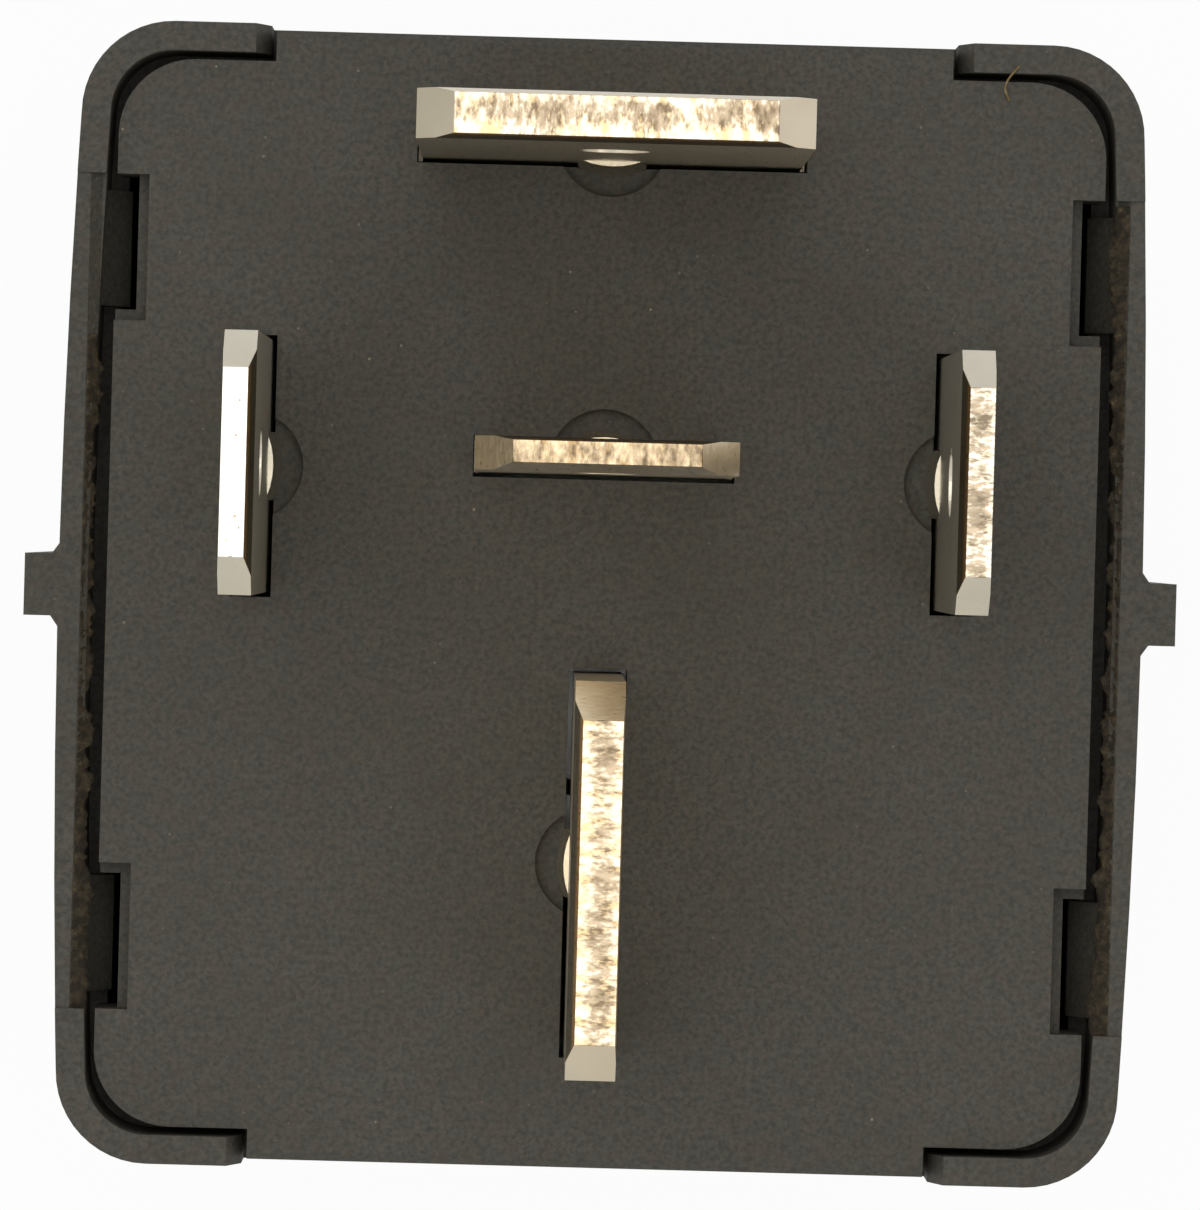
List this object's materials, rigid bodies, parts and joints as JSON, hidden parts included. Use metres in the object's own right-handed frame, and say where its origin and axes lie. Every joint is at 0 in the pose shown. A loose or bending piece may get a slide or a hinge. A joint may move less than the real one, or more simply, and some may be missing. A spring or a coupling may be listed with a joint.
{
  "type": "automotive relay",
  "caption": "Plug-in changeover relay in a dark rectangular case, with flat blade terminals, and a coil, a hinged armature and a contact set inside.",
  "frame": {"origin": "centre of the cover's closed face, which the relay stands on", "axes": "+Z along the blades, away from the closed face; +Y towards the work-contact blade (87); +X towards coil blade 85"},
  "size_m": [0.0288, 0.0286, 0.0366],
  "materials": {
    "housing": "fine matt moulding, dark warm grey",
    "housing_base": "fine matt moulding, dark warm grey",
    "tinned_brass": "tin plated, bright sheared tips, dull bevels",
    "plated_iron": "zinc plated soft iron",
    "rivet_steel": "plain steel rivets",
    "former_nylon": "natural glass-filled nylon",
    "enamelled_copper": "enamelled copper wire",
    "copper_braid": "bare stranded copper",
    "spring_bronze": "rolled spring bronze",
    "spring_steel": "drawn spring wire",
    "contact_silver": "silver alloy, turned"
  },
  "bodies": {
    "cover": {"cover": "housing"},
    "base_assembly": {"base": "housing_base", "terminal_87": "tinned_brass", "terminal_87a": "tinned_brass", "terminal_30": "tinned_brass", "terminal_85": "tinned_brass", "terminal_86": "tinned_brass", "yoke": "plated_iron", "core": "plated_iron", "coil_former": "former_nylon", "coil_winding": "enamelled_copper", "coil_lead_start": "enamelled_copper", "coil_lead_end": "enamelled_copper", "foot_rivets": "rivet_steel", "work_contact": "contact_silver", "rest_contact": "contact_silver", "return_spring": "spring_steel", "braid": "copper_braid"},
    "armature": {"armature": "plated_iron", "contact_spring": "spring_bronze", "moving_contact": "contact_silver", "armature_rivets": "rivet_steel"}
  },
  "joints": [
    {"name": "cover_removal", "type": "slide", "parent": "cover", "child": "base_assembly", "axis": [0, 0, 1], "range_m": [0, 0.028]},
    {"name": "armature_hinge", "type": "hinge", "parent": "base_assembly", "child": "armature", "pos_m": [0, -0.01025, 0.00669], "axis": [1, 0, 0], "range_deg": [0, 2.76], "stiffness_Nm_per_rad": 0.004, "springref_deg": -28.65, "deforming": ["return_spring", "braid"]}
  ]
}
